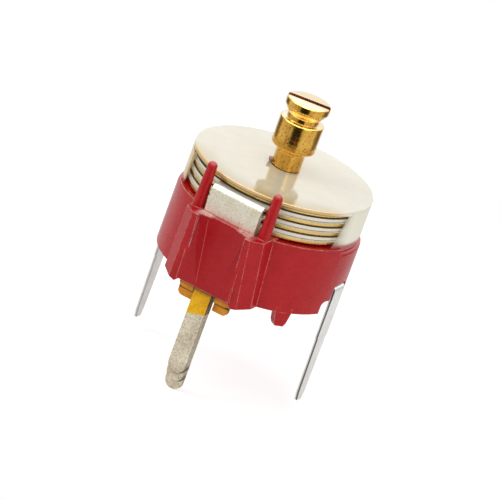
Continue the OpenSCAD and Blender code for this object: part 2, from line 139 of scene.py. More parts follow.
def rounded(corners, cut, closed=False):
    """Rounds an outline's corners.

    Each corner P gives way to a curve from A, a little before it, to B, a little after it:
    point(t) = (1-t)^2 A + 2t(1-t) P + t^2 B. The little is `cut`, or 0.45 of the side if shorter.
    """
    points = np.array(corners, dtype=float)
    cuts = np.broadcast_to(np.array(cut, dtype=float), len(points))[:, None]
    back, ahead = np.roll(points, 1, axis=0) - points, np.roll(points, -1, axis=0) - points
    back_l, ahead_l = (np.linalg.norm(side, axis=1, keepdims=True) for side in (back, ahead))
    before = points + back / back_l * np.minimum(cuts, LONGEST_CUT * back_l)
    after = points + ahead / ahead_l * np.minimum(cuts, LONGEST_CUT * ahead_l)
    t = np.linspace(0, 1, CORNER_POINTS)[None, :, None]
    curves = (1 - t) ** 2 * before[:, None] + 2 * t * (1 - t) * points[:, None] + t ** 2 * after[:, None]
    if closed:
        return curves.reshape(-1, 2)
    return np.concatenate([points[:1], curves[1:-1].reshape(-1, 2), points[-1:]])


unit_square = [(0, 0), (1, 0), (1, 1), (0, 1)]
print("a square with rounded corners has", len(rounded(unit_square, 0.1, closed=True)), "points")


# %% Grid helpers
MERGE_M = 1e-7
SHARP_DEGREES = 32


def around_z(outline, angles):
    """Carries an outline of (radius, height) round Z: x = r cos a, y = r sin a, z = height.

    The angle a is given for each row, or for each point.
    """
    radius, height = outline[..., 0], outline[..., 1]
    if outline.ndim == 2:
        radius, height = (np.broadcast_to(part, (len(angles), len(part))) for part in (radius, height))
    a = angles if angles.ndim == 2 else angles[:, None]
    return np.stack([radius * np.cos(a), radius * np.sin(a), height], axis=-1)


def surface(name, points, closed=False, sharp_degrees=SHARP_DEGREES):
    """Makes one mesh object of a grid of points (rows x columns x 3, in millimetres).

    Point (i, j) is joined with (i+1, j), (i+1, j+1) and (i, j+1). The last row meets the first,
    and if closed the last column meets the first too. Equal points, as at a pole, are merged.
    """
    rows, columns = points.shape[:2]
    index = np.arange(rows * columns).reshape(rows, columns)
    across = np.roll(index, -1, axis=0)
    if closed:
        quads = np.stack([index, across, np.roll(across, -1, axis=1), np.roll(index, -1, axis=1)], axis=-1)
    else:
        quads = np.stack([index[:, :-1], across[:, :-1], across[:, 1:], index[:, 1:]], axis=-1)
    mesh = bpy.data.meshes.new(name)
    mesh.from_pydata((points.reshape(-1, 3) * mm).tolist(), [], quads.reshape(-1, 4).tolist())
    shape = bmesh.new()
    shape.from_mesh(mesh)
    bmesh.ops.remove_doubles(shape, verts=shape.verts, dist=MERGE_M)
    bmesh.ops.dissolve_degenerate(shape, edges=shape.edges, dist=MERGE_M)
    bmesh.ops.recalc_face_normals(shape, faces=shape.faces)
    shape.to_mesh(mesh)
    shape.free()
    mesh.polygons.foreach_set("use_smooth", np.ones(len(mesh.polygons), dtype=bool))
    mesh.set_sharp_from_angle(angle=math.radians(sharp_degrees))
    piece = bpy.data.objects.new(name, mesh)
    bpy.context.scene.collection.objects.link(piece)
    print(name, "has", len(mesh.polygons), "faces")
    return piece


# %% [markdown]
# ## Spindle
# The spindle is turned from brass bar: a rivet end below the housing, a keyed length with two
# flats that carries the vanes, then shaft, grip, neck and a slotted head. One lathe outline gives
# all of it. The flats come from a limit on y, as a file would cut them. The slot is the one cut
# that an outline can't give, so a box takes it out with a Boolean.

# %% Spindle outline
KEY_FLAT = 0.54
BUSH_Z, KEY_END_Z = 4.35, 6.58
KEY_STEP = 0.02
HEAD_TOP = 10.87
LATHE_STEPS = 128
SPINDLE = [
    (0, 1.37), (0.68, 1.37), (0.8, 1.61), (0.5, 1.61), (0.5, BUSH_Z), (0.72, BUSH_Z),
    (0.72, BUSH_Z + KEY_STEP), (0.72, KEY_END_Z), (0.72, KEY_END_Z + KEY_STEP), (0.72, 6.99), (0.8, 6.99),
    (0.8, 7.91), (1.21, 8.18), (1.21, 9.68), (1.15, 9.75), (0.88, 9.76), (0.88, 10.02), (1.21, 10.47),
    (1.21, 10.81), (1.15, HEAD_TOP), (0, HEAD_TOP)]
SPINDLE_CUTS = [
    0, 0.02, 0.02, 0.01, 0.01, 0.005, 0.005, 0.005, 0.005, 0.01, 0.03, 0.05, 0.06, 0.06, 0.05, 0.03, 0.05,
    0.06, 0.04, 0.04, 0]

spindle_outline = rounded(SPINDLE, SPINDLE_CUTS)
spindle_points = around_z(spindle_outline, np.linspace(0, 2 * np.pi, LATHE_STEPS, endpoint=False))
heights = spindle_points[..., 2]
keyed = (heights > BUSH_Z + KEY_STEP / 2) & (heights < KEY_END_Z + KEY_STEP / 2)
spindle_points[..., 1] = np.where(
    keyed, np.clip(spindle_points[..., 1], -KEY_FLAT, KEY_FLAT), spindle_points[..., 1])
print("spindle height in mm:", round(float(np.ptp(heights)), 2))

# %% Slot
SLOT_ANGLE, SLOT_W, SLOT_Z = 16, 0.42, 10.47
CUTTER_REACH, CUTTER_TOP = 2, 12


def cut_with_box(piece, corners_mm, turn_degrees):
    """Takes a box, turned about Z, out of a piece with an exact Boolean that is applied at once."""
    (x0, y0, z0), (x1, y1, z1) = corners_mm
    box = bmesh.new()
    bmesh.ops.create_cube(box, size=1)
    scale = Matrix.Diagonal(((x1 - x0) * mm, (y1 - y0) * mm, (z1 - z0) * mm, 1))
    middle = Matrix.Translation(Vector(((x0 + x1) / 2, (y0 + y1) / 2, (z0 + z1) / 2)) * mm)
    turned = Matrix.Rotation(math.radians(turn_degrees), 4, "Z")
    bmesh.ops.transform(box, matrix=turned @ middle @ scale, verts=box.verts)
    box_mesh = bpy.data.meshes.new("slot_cutter")
    box.to_mesh(box_mesh)
    box.free()
    cutter = bpy.data.objects.new("slot_cutter", box_mesh)
    bpy.context.scene.collection.objects.link(cutter)
    cut = piece.modifiers.new("cut", "BOOLEAN")
    cut.object, cut.operation, cut.solver = cutter, "DIFFERENCE", "EXACT"
    bpy.context.view_layer.update()
    done = bpy.data.meshes.new_from_object(piece.evaluated_get(bpy.context.evaluated_depsgraph_get()))
    piece.modifiers.clear()
    piece.data = done
    bpy.data.objects.remove(cutter)
    done.set_sharp_from_angle(angle=math.radians(SHARP_DEGREES))


spindle = surface("turned_spindle", spindle_points)
cut_with_box(
    spindle, ((-CUTTER_REACH, -SLOT_W / 2, SLOT_Z), (CUTTER_REACH, SLOT_W / 2, CUTTER_TOP)), SLOT_ANGLE)
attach(spindle, "rotor")
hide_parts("spindle")
print("with its slot the spindle has", len(spindle.data.polygons), "faces")

# %% [markdown]
# ## Burr
# A small dark curl lies at the spindle's foot, where it comes out of the cover. It could be
# painted on the shaft, but it casts a small shadow, so it is a thread: a circle carried along a
# curve that rises and falls a little on its way round the foot.

# %% Burr
BURR_R, BURR_Z, BURR_THICK = 0.9, 7.04, 0.1
BURR_FROM, BURR_TO = 168, 228
BURR_RISE, BURR_WAVES = 0.09, 3
BURR_POINTS = 20


def thread(path, radius, sides=8):
    """A closed thread along a path: centre + radius (cos b X + sin b Y), ends drawn to a point."""
    taper = np.clip(np.minimum(np.arange(len(path)), np.arange(len(path))[::-1]) / 2, 0, 1)
    b = np.linspace(0, 2 * np.pi, sides, endpoint=False)
    offset = np.stack([np.cos(b), np.sin(b), np.zeros(sides)], axis=-1)
    return path[None] + offset[:, None] * (radius * taper)[None, :, None]


burr_a = np.radians(np.linspace(BURR_FROM, BURR_TO, BURR_POINTS))
burr_heights = BURR_Z + BURR_RISE * np.sin(BURR_WAVES * (burr_a - burr_a[0]))
burr_path = np.stack([BURR_R * np.cos(burr_a), BURR_R * np.sin(burr_a), burr_heights], axis=-1)
burr = surface("foot_burr", thread(burr_path, BURR_THICK), sharp_degrees=180)
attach(burr, "rotor")

# %% [markdown]
# ## Cover
# The cover is one milky moulding: a disc that rises a little to the spindle, and a skirt round
# most of its edge. A window in the skirt leaves the vane edges open. The outline runs over the
# disc, down the skirt's outer face and back up its inner face. Going round, the skirt's depth is
# a number that drops to almost nothing in the window, so disc, skirt and window are one skin.
# The window's right side leans in towards its foot: each point there is turned a little further,
# the more so the lower it lies.

# %% Cover outline
COVER_R, SKIRT_IN_R = 5.0, 4.84
RIM_TOP, RIM_UNDER, SKIRT_END = 6.8, 6.6, 4.44
CROWN, DISC_THICK, HOLE_R = 6.93, 0.2, 0.77
SLOPE_END = (SKIRT_IN_R - 0.1, RIM_TOP + 0.005)
COVER_CUTS = [0.03, 0.05, 0.07, 0.05, 0.05, 0.03, 0.03]


def cover_outline(skirt_end, skirt_in_r=SKIRT_IN_R):
    """The cover's section, with its skirt ending at the given height and inner radius."""
    corners = [
        (HOLE_R, CROWN), SLOPE_END, (COVER_R, RIM_TOP), (COVER_R, skirt_end), (skirt_in_r, skirt_end),
        (skirt_in_r, RIM_UNDER), (HOLE_R, CROWN - DISC_THICK)]
    return rounded(corners, COVER_CUTS, closed=True)


print("the cover's section has", len(cover_outline(SKIRT_END)), "points")

# %% Cover
WINDOW = (-144.0, -13.0)
WINDOW_EDGE = 0.5
WINDOW_STUB = 0.03
TAPER, TAPER_IN_R = 7.0, 4.965
WINDOW_SLANT, SLANT_REACH = 11.0, 30.0
ROUND_STEP, EDGE_POINTS = 1.5, 9


def smooth_step(value):
    """A smooth step: 3 v^2 - 2 v^3 of a value held between 0 and 1."""
    held = np.clip(value, 0, 1)
    return 3 * held ** 2 - 2 * held ** 3


degrees = np.unique(np.concatenate([
    np.arange(-180, 180, ROUND_STEP),
    *(edge + WINDOW_EDGE * np.linspace(-1, 1, EDGE_POINTS) for edge in WINDOW)]))
into_window = np.minimum(degrees - WINDOW[0], WINDOW[1] - degrees)
opening = smooth_step(into_window / WINDOW_EDGE / 2 + 0.5)[:, None, None]
thinning = smooth_step(1 + into_window / TAPER)[:, None, None]
full_skirt = (1 - thinning) * cover_outline(SKIRT_END) + thinning * cover_outline(SKIRT_END, TAPER_IN_R)
section = (1 - opening) * full_skirt + opening * cover_outline(RIM_UNDER - WINDOW_STUB)
depth = np.clip((RIM_UNDER - section[..., 1]) / (RIM_UNDER - SKIRT_END), 0, 1)
reach = smooth_step(1 - (degrees - WINDOW[1]) / SLANT_REACH)[:, None]
lean = WINDOW_SLANT * depth * np.where(degrees[:, None] > WINDOW[1] - 2 * WINDOW_EDGE, reach, 0)
cover = surface("moulded_cover", around_z(section, np.radians(degrees[:, None] - lean)), closed=True)
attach(cover, "base")
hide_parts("cover")

# %% [markdown]
# ## Mould line
# Where two streams of hot plastic met behind the tab slot, a hair-thin raised line runs down the
# front wall. It is a fine thread that lies half sunk in the wall. Its place across the wall is
# given, and a ray from the front finds the wall's own depth at each of its points.

# %% Mould line
LINE_TOP, LINE_END = (-0.95, 4.62), (-0.42, 0.98)
LINE_R, LINE_POINTS = 0.015, 40
RAY_START_Y = -20


def depth_of(node, places):
    """The y, in millimetres, at which rays along +Y first meet a node, for rows of (x, z)."""
    mesh = nodes[node].data
    corners = np.empty(len(mesh.vertices) * 3)
    mesh.vertices.foreach_get("co", corners)
    faces = [tuple(face.vertices) for face in mesh.polygons]
    wall = BVHTree.FromPolygons(corners.reshape(-1, 3).tolist(), faces)
    starts = [Vector((x, RAY_START_Y, z)) * mm for x, z in places]
    return np.array([wall.ray_cast(start, Vector((0, 1, 0)))[0].y / mm for start in starts])


run = np.linspace(0, 1, LINE_POINTS)[:, None]
line_places = (1 - run) * np.array(LINE_TOP) + run * np.array(LINE_END)
line_path = np.stack([line_places[:, 0], depth_of("housing", line_places), line_places[:, 1]], axis=-1)
mould_line = surface("mould_line", thread(line_path, LINE_R), sharp_degrees=180)
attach(mould_line, "base")

# %% [markdown]
# ## Node helpers
# Every finish is a small tree of shader nodes. One helper adds a node, sets it and wires it, so
# that a tree reads from top to bottom as a recipe does. Three more name the steps that come back
# most: one Math node, a product of several terms, and a fade from one level to another.

# %% Node helpers
def new_tree(owner):
    """Empties a material's or world's node tree and returns it."""
    owner.use_nodes = True
    owner.node_tree.nodes.clear()
    return owner.node_tree


def add(tree, kind, inputs=None, **settings):
    """Adds a node, sets its plain properties, and sets or links its inputs."""
    node = tree.nodes.new("ShaderNode" + kind)
    for name, value in settings.items():
        setattr(node, name, value)
    for name, value in (inputs or {}).items():
        if isinstance(value, bpy.types.NodeSocket):
            tree.links.new(value, node.inputs[name])
        else:
            node.inputs[name].default_value = value
    return node


def maths(tree, operation, first, second=0.0):
    """One Math node's result; either term is a number or a socket."""
    return add(tree, "Math", {0: first, 1: second}, operation=operation).outputs[0]


def times(tree, first, *others):
    """The product of several masks or numbers."""
    for other in others:
        first = maths(tree, "MULTIPLY", first, other)
    return first


def fade(tree, value, start, end, low=0.0, high=1.0):
    """Runs from low to high while a value runs from start to end, and stays level beyond."""
    limits = {"From Min": start, "From Max": end, "To Min": low, "To Max": high}
    return add(tree, "MapRange", {"Value": value, **limits}).outputs[0]


print("node helpers:", ", ".join(helper.__name__ for helper in (new_tree, add, maths, times, fade)))


# %% Colour helpers
def colour(red, green, blue):
    """Turns a colour that was picked on a screen, 0 to 255, into the linear one that shaders use."""
    screen = np.array([red, green, blue]) / 255
    linear = np.where(screen <= 0.04045, screen / 12.92, ((screen + 0.055) / 1.055) ** 2.4)
    return (*(float(part) for part in linear), 1.0)


def grey(level):
    """A linear grey of the given brightness."""
    return (level, level, level, 1)


def blend_colour(tree, factor, first, second, mode="MIX"):
    """Mixes two colours by a factor; each is a colour or a socket."""
    mix = add(tree, "Mix", data_type="RGBA", blend_type=mode)
    for place, value in ((0, factor), (6, first), (7, second)):
        if isinstance(value, bpy.types.NodeSocket):
            tree.links.new(value, mix.inputs[place])
        else:
            mix.inputs[place].default_value = value
    return mix.outputs[2]


def ramp(tree, value, stops):
    """A smooth colour ramp with the given (place, brightness) stops."""
    node = add(tree, "ValToRGB", {"Fac": value})
    node.color_ramp.interpolation = "EASE"
    while len(node.color_ramp.elements) < len(stops):
        node.color_ramp.elements.new(0.5)
    for element, (place, level) in zip(node.color_ramp.elements, stops):
        element.position = place
        element.color = grey(level)
    return node.outputs["Color"]


print("a screen grey of 128 is", round(colour(128, 128, 128)[0], 3), "in linear light")

# %% [markdown]
# ## Stage
# The floor is white wherever the camera, a reflection or a clear sheet looks at it, and still
# takes the part's soft shadow. A lamp strong enough to make it white would also bleach the part,
# so the floor glows a little for those rays alone. From below it is clear, so that the part can be
# seen from there too.

# %% Floor finish
FLOOR_GREY = 0.8
FLOOR_LIFT = 0.5
FLOOR_IN_METAL = 0.2


def seen_directly(tree):
    """1 for rays from the camera or a clear sheet, less for a reflection, 0 for lighting rays."""
    path = add(tree, "LightPath").outputs
    mirrored = maths(tree, "MULTIPLY", path["Is Glossy Ray"], FLOOR_IN_METAL)
    seen = maths(tree, "MAXIMUM", path["Is Camera Ray"], mirrored)
    return maths(tree, "MAXIMUM", seen, path["Is Transmission Ray"])


def floor_finish():
    """Matt white with a glow for what looks at it, and clear for the camera from below."""
    material = bpy.data.materials.new("floor_white")
    tree = new_tree(material)
    matt = add(tree, "BsdfDiffuse", {"Color": grey(FLOOR_GREY)})
    glow = add(tree, "Emission", {"Strength": maths(tree, "MULTIPLY", seen_directly(tree), FLOOR_LIFT)})
    both = add(tree, "AddShader", {0: matt.outputs[0], 1: glow.outputs[0]})
    camera_ray = add(tree, "LightPath").outputs["Is Camera Ray"]
    from_below = maths(tree, "MULTIPLY", add(tree, "NewGeometry").outputs["Backfacing"], camera_ray)
    clear = add(tree, "BsdfTransparent")
    floor_or_clear = add(tree, "MixShader", {0: from_below, 1: both.outputs[0], 2: clear.outputs[0]})
    add(tree, "OutputMaterial", {"Surface": floor_or_clear.outputs[0]})
    return material


floor_white = floor_finish()
print("made", floor_white.name)

# %% Floor
FLOOR_R = 30.0
FLOOR_BACK = 9.0
FLOOR_SIDES = 96

floor_z = cad_box[0][2]
round_steps = np.linspace(0, 2 * np.pi, FLOOR_SIDES, endpoint=False)
floor_points = np.stack([
    (np.cos(round_steps) * FLOOR_R - FLOOR_BACK * math.sin(VIEW_AZIMUTH)) * mm,
    (np.sin(round_steps) * FLOOR_R + FLOOR_BACK * math.cos(VIEW_AZIMUTH)) * mm,
    np.full(FLOOR_SIDES, floor_z)], axis=1)
floor_mesh = bpy.data.meshes.new("floor")
floor_mesh.from_pydata(floor_points.tolist(), [], [tuple(range(FLOOR_SIDES))])
floor_mesh.materials.append(floor_white)
floor = bpy.data.objects.new("floor", floor_mesh)
bpy.context.scene.collection.objects.link(floor)
print("floor height in mm:", round(floor_z / mm, 2))

# %% [markdown]
# ## Studio
# Polished brass is drawn by what it mirrors, and in an evenly white room it would look like yellow
# plastic. So the world answers each kind of ray in its own way: plain white to the camera, even
# white for lighting, and a furnished room to mirrors, with dark and bright sides by heading, a
# bright panel behind and a ceiling. The heading is the angle of a ray's direction round Z.

# %% Studio room
# brightness by heading: 0 is behind the part, 0.25 at its right, 0.5 behind the camera
STUDIO = [
    (0.0, 1.0), (0.08, 0.9), (0.12, 0.16), (0.19, 0.2), (0.24, 0.85), (0.4, 0.9), (0.445, 0.55),
    (0.455, 0.02), (0.56, 0.02), (0.6, 0.62), (0.78, 0.85), (0.82, 0.18), (0.88, 0.16), (0.92, 0.9),
    (1.0, 1.0)]
BACK_PANEL = [(0.12, 1), (0.22, 0.0), (0.78, 0.0), (0.88, 1)]
BACK_LEVEL, UPPER_LEVEL, CEILING_LEVEL = 1.9, 0.5, 5.0
PANEL_RISE, CEILING_RISE = (0.0, 0.25), (0.6, 0.8)

world = bpy.data.worlds.new("studio")
bpy.context.scene.world = world
sky = new_tree(world)
ray = add(sky, "SeparateXYZ", {0: add(sky, "TexCoord").outputs["Generated"]}).outputs
whole_turn = 2 * math.pi
turned_by = maths(sky, "DIVIDE", maths(sky, "ARCTAN2", ray["X"], ray["Y"]), whole_turn)
heading = maths(sky, "FRACT", maths(sky, "ADD", turned_by, VIEW_AZIMUTH / whole_turn))
rising = fade(sky, ray["Z"], *PANEL_RISE)
panel = maths(sky, "MULTIPLY", rising, ramp(sky, heading, BACK_PANEL))
upper = maths(sky, "MULTIPLY", rising, UPPER_LEVEL)
room = blend_colour(sky, 1.0, ramp(sky, heading, STUDIO), upper, "LIGHTEN")
room = blend_colour(sky, panel, room, grey(BACK_LEVEL))
room = blend_colour(sky, fade(sky, ray["Z"], *CEILING_RISE), room, grey(CEILING_LEVEL))
print("the room has", len(STUDIO), "levels round it and a ceiling of", CEILING_LEVEL)

# %% Studio by kind of ray
LIGHTING_LEVEL = 0.78

furnished = add(sky, "Background", {"Color": room, "Strength": 1.0})
even = add(sky, "Background", {"Color": grey(1), "Strength": LIGHTING_LEVEL})
white = add(sky, "Background", {"Color": grey(1), "Strength": 1.0})
rays = add(sky, "LightPath").outputs
lit = add(sky, "MixShader", {0: rays["Is Glossy Ray"], 1: even.outputs[0], 2: furnished.outputs[0]})
direct = maths(sky, "MAXIMUM", rays["Is Camera Ray"], rays["Is Transmission Ray"])
shown = add(sky, "MixShader", {0: direct, 1: lit.outputs[0], 2: white.outputs[0]})
add(sky, "OutputWorld", {"Surface": shown.outputs[0]})
print("even light of", LIGHTING_LEVEL, "for lighting rays, plain white for the camera")

# %% [markdown]
# ## Lamps
# The room gives most of the light. A large soft lamp at the upper left models the round forms, and
# a weaker one at the right keeps the far side open. Both are small in power because the part is.

# %% Lamps
LAMP_WIDTH = 60
PART_MIDDLE = (0, 0, 3)
LAMPS = {"key_left": ((-80, -50, 95), 0.035), "fill_right": ((90, -60, 50), 0.015)}


def area_lamp(name, place, power):
    """A square soft lamp, placed in millimetres, that looks at the middle of the part."""
    data = bpy.data.lights.new(name, "AREA")
    data.size = LAMP_WIDTH * mm
    data.energy = power
    lamp = bpy.data.objects.new(name, data)
    lamp.location = Vector(place) * mm
    to_part = Vector(PART_MIDDLE) * mm - lamp.location
    lamp.rotation_euler = to_part.to_track_quat("-Z", "Y").to_euler()
    bpy.context.scene.collection.objects.link(lamp)
    print(name, "gives", power, "W from", place, "mm")


for lamp_name, (lamp_place, lamp_power) in LAMPS.items():
    area_lamp(lamp_name, lamp_place, lamp_power)

# %% [markdown]
# ## Effects that several finishes share
# Moulded plastic, rolled sheet and turned brass all vary a little over their surface. Each effect
# is a node group with named inputs, so a finish chooses its scale and strength and nothing more.

# %% An empty effect
def group(name, inputs):
    """An empty node group with float inputs (name: default) and one output, Value."""
    made = bpy.data.node_groups.new(name, "ShaderNodeTree")
    for label, value in inputs.items():
        socket = made.interface.new_socket(label, in_out="INPUT", socket_type="NodeSocketFloat")
        socket.default_value = value
    made.interface.new_socket("Value", in_out="OUTPUT", socket_type="NodeSocketFloat")
    entry = made.nodes.new("NodeGroupInput").outputs
    result = made.nodes.new("NodeGroupOutput").inputs
    print("effect", name, "with", ", ".join(inputs))
    return made, entry, result


def noise(tree, vector, scale, detail):
    """A noise value at the given places; the scale is per metre."""
    return add(tree, "TexNoise", {"Vector": vector, "Scale": scale, "Detail": detail}).outputs["Fac"]


# %% Grain and specks
BROAD_SHARE = 7
SPECK_LIMIT, SPECK_GAIN, SPECK_WIDTH = 0.72, 0.3, 0.14


def grain_group():
    """Cloudy variation: fine noise on broad noise, as a value round 0.5, in millimetre scale."""
    made, entry, result = group("surface_grain", {"Per mm": 4.0, "Contrast": 0.5})
    place = add(made, "TexCoord").outputs["Object"]
    per_metre = maths(made, "MULTIPLY", entry["Per mm"], 1000)
    fine = noise(made, place, per_metre, 4.0)
    broad = noise(made, place, maths(made, "DIVIDE", per_metre, BROAD_SHARE), 2.0)
    both = maths(made, "MULTIPLY", maths(made, "ADD", fine, broad), 0.5)
    around = maths(made, "MULTIPLY", maths(made, "SUBTRACT", both, 0.5), entry["Contrast"])
    made.links.new(maths(made, "ADD", around, 0.5), result["Value"])
    return made


def speck_group():
    """Small darker specks: fine noise only, pushed apart, from 0 to 1."""
    made, entry, result = group("specks", {"Per mm": 9.0, "Amount": 0.5})
    place = add(made, "TexCoord").outputs["Object"]
    fine = noise(made, place, maths(made, "MULTIPLY", entry["Per mm"], 1000), 1.0)
    limit = maths(made, "SUBTRACT", SPECK_LIMIT, maths(made, "MULTIPLY", entry["Amount"], SPECK_GAIN))
    made.links.new(fade(made, fine, limit, maths(made, "ADD", limit, SPECK_WIDTH)), result["Value"])
    return made


surface_grain = grain_group()
small_specks = speck_group()

# %% Rubbed edges and turning marks
EDGE_REACH = 0.06
EDGE_FLAT = 0.985
BEVEL_SAMPLES = 6
EDGE_PATCH_PER_METRE, EDGE_PATCH_FROM, EDGE_PATCH_TO, EDGE_PATCH_LEAST = 2500.0, 0.4, 0.62, 0.08
MARK_STRETCH = (0.02, 0.02, 1.0)


def edge_group():
    """Edge wear and painted highlight: 0 on flat faces, 1 where a face turns within a small radius."""
    made, entry, result = group("worn_and_highlighted_edges", {"Gain": 6.0})
    flat = add(made, "NewGeometry").outputs["Normal"]
    turned = add(made, "Bevel", {"Radius": EDGE_REACH * mm}, samples=BEVEL_SAMPLES).outputs[0]
    match = add(made, "VectorMath", {0: flat, 1: turned}, operation="DOT_PRODUCT").outputs["Value"]
    lost = maths(made, "MULTIPLY", maths(made, "SUBTRACT", EDGE_FLAT, match), entry["Gain"])
    place = add(made, "TexCoord").outputs["Object"]
    patchy = fade(made, noise(made, place, EDGE_PATCH_PER_METRE, 3.0), EDGE_PATCH_FROM, EDGE_PATCH_TO, EDGE_PATCH_LEAST)
    held = maths(made, "MINIMUM", maths(made, "MULTIPLY", lost, patchy), 1.0)
    made.links.new(maths(made, "MAXIMUM", held, 0.0), result["Value"])
    return made


def turning_group():
    """Tool marks of a lathe: noise that changes along Z and hardly round it."""
    made, entry, result = group("turning_marks", {"Per mm": 14.0})
    place = add(made, "TexCoord").outputs["Object"]
    stretched = add(made, "Mapping", {"Vector": place, "Scale": MARK_STRETCH}).outputs[0]
    per_metre = maths(made, "MULTIPLY", entry["Per mm"], 1000)
    made.links.new(noise(made, stretched, per_metre, 3.0), result["Value"])
    return made


worn_and_highlighted_edges = edge_group()
turning_marks = turning_group()


# %% Placing an effect
def effect(tree, made, amounts):
    """Places a shared effect in a material, with that material's own amounts."""
    node = add(tree, "Group")
    node.node_tree = made
    for label, amount in amounts.items():
        node.inputs[label].default_value = amount
    return node.outputs["Value"]


def grain(tree, per_mm, contrast=1.0):
    """Cloudy grain, about 0.5."""
    return effect(tree, surface_grain, {"Per mm": per_mm, "Contrast": contrast})


def specks(tree, per_mm, amount):
    """Small specks, 0 to 1."""
    return effect(tree, small_specks, {"Per mm": per_mm, "Amount": amount})


def edge_wear_and_highlight(tree, gain):
    """Edge wear and painted highlight, 0 to 1."""
    return effect(tree, worn_and_highlighted_edges, {"Gain": gain})


def marks(tree, per_mm):
    """Turning marks, about 0.5."""
    return effect(tree, turning_marks, {"Per mm": per_mm})


def ranged(tree, value, low, high):
    """Stretches a value round 0.5 to run from low to high."""
    return fade(tree, value, 0.25, 0.75, low, high)


print("effects:", ", ".join(made.name for made in bpy.data.node_groups))

# %% [markdown]
# ## A finish
# Each material is one Principled shader. What differs is its base colour, its roughness and its
# bump, so those three are given as small functions. Where an edge radius is given, the shader also
# sees every edge as rounded: the mesh keeps its form, and the light runs along the edge.

# %% A finish
def finish(name, base, roughness, bump_height, bump_mm, edge_mm=0.0, **plain):
    """A material: a Principled shader with a base colour, a roughness and a bump, over soft edges."""
    material = bpy.data.materials.new(name)
    tree = new_tree(material)
    shader = add(tree, "BsdfPrincipled", {key.replace("_", " "): value for key, value in plain.items()})
    for socket, maker in (("Base Color", base), ("Roughness", roughness)):
        value = maker(tree) if callable(maker) else maker
        if isinstance(value, bpy.types.NodeSocket):
            tree.links.new(value, shader.inputs[socket])
        else:
            shader.inputs[socket].default_value = value
    normal = None
    if edge_mm:
        normal = add(tree, "Bevel", {"Radius": edge_mm * mm}, samples=BEVEL_SAMPLES).outputs[0]
    if bump_height:
        bump = add(tree, "Bump", {"Height": bump_height(tree), "Distance": bump_mm * mm, "Strength": 1.0})
        if normal:
            tree.links.new(normal, bump.inputs["Normal"])
        normal = bump.outputs[0]
    if normal:
        tree.links.new(normal, shader.inputs["Normal"])
    add(tree, "OutputMaterial", {"Surface": shader.outputs[0]})
    print("finish", name, "has", len(tree.nodes), "nodes")
    return material


def cloudy(first, second, per_mm):
    """A maker of a base colour that drifts between two colours with the grain."""
    return lambda tree: blend_colour(tree, grain(tree, per_mm), first, second)


# %% [markdown]
# ## Where a mark sits
# Many marks on this part belong to a place: tin ends at one height, a seam runs along one edge, a
# burr lies on one side. Each is a mask worked out from the piece's own coordinates in millimetres
# or from the way a face looks. A painted image could hold them too, but a mask stays sharp at any
# size and moves with the piece.

# %% Place helpers
def between(tree, value, low, high, soft):
    """1 where a value lies between two limits, with soft ends."""
    rise = fade(tree, value, low - soft, low + soft)
    fall = fade(tree, value, high - soft, high + soft)
    return maths(tree, "SUBTRACT", rise, fall)


def above(tree, value, limit):
    """1 where a value is above a limit, and 0 elsewhere."""
    return maths(tree, "GREATER_THAN", value, limit)


def below(tree, value, limit):
    """1 where a value is below a limit, and 0 elsewhere."""
    return maths(tree, "LESS_THAN", value, limit)


def place_mm(tree):
    """Object coordinates in millimetres, as three sockets."""
    place = add(tree, "TexCoord").outputs["Object"]
    scaled = add(tree, "VectorMath", {0: place, 1: (1000,) * 3}, operation="MULTIPLY")
    return add(tree, "SeparateXYZ", {0: scaled.outputs[0]}).outputs


def facing(tree, axis):
    """How far a face looks along X, Y or Z, from 0 to 1, whichever way."""
    normal = add(tree, "SeparateXYZ", {0: add(tree, "NewGeometry").outputs["Normal"]})
    return maths(tree, "ABSOLUTE", normal.outputs[axis])


print("place helpers:", ", ".join(helper.__name__ for helper in (between, above, below, place_mm, facing)))


# %% [markdown]
# ## Red moulding
# The base is glossy pigmented plastic. Its colour is cloudy and flecked, with painted shade that
# darkens the slot's recessed wall. Its sharp edges are paler, partly from handling and partly as a
# painted highlight, and the wall's rim and the tips of the posts carry painted highlights. One colour
# tree layers all of it over the plain red, and the shading rounds each edge a little, as the mould does.

# %% Red colour
RED, RED_CLOUD, RED_GRAIN = colour(166, 8, 18), colour(178, 12, 22), colour(196, 34, 34)
RED_FLECK, RED_WALL_SHADE = colour(150, 4, 14), colour(140, 4, 22)
EDGE_WEAR_AND_HIGHLIGHT_PINK, TIP_HIGHLIGHT_PINK, RIM_HIGHLIGHT_WHITE = colour(242, 172, 164), colour(244, 150, 142), colour(242, 206, 200)
SLOT_WALL_Y, SLOT_HALF = -5.5, 1.42
RIM_WALL_Y, RIM_HEIGHTS, RIM_SPAN = -5.52, (4.72, 4.9), (0.8, 1.7)
TIP_HEIGHT = 0.22
POST_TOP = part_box("housing")[1][2] / mm


def wall_shade(tree, place):
    """Painted shade: where the slot's recessed wall is darker, in patches."""
    sunk = between(tree, maths(tree, "ABSOLUTE", place["X"]), -1.0, SLOT_HALF, 0.12)
    sunk = times(tree, sunk, below(tree, place["Y"], SLOT_WALL_Y))
    return times(tree, sunk, 0.4, ranged(tree, grain(tree, 1.2), 0.5, 1.0))


def rim_highlight(tree, place):
    """Painted highlight on the rim of the slot's wall, at both ends, in patches."""
    ends = between(tree, maths(tree, "ABSOLUTE", place["X"]), *RIM_SPAN, 0.15)
    rim = between(tree, place["Z"], *RIM_HEIGHTS, 0.03)
    wall = below(tree, place["Y"], RIM_WALL_Y)
    return times(tree, ends, rim, wall, ranged(tree, grain(tree, 5, 1.5), 0.0, 0.8))


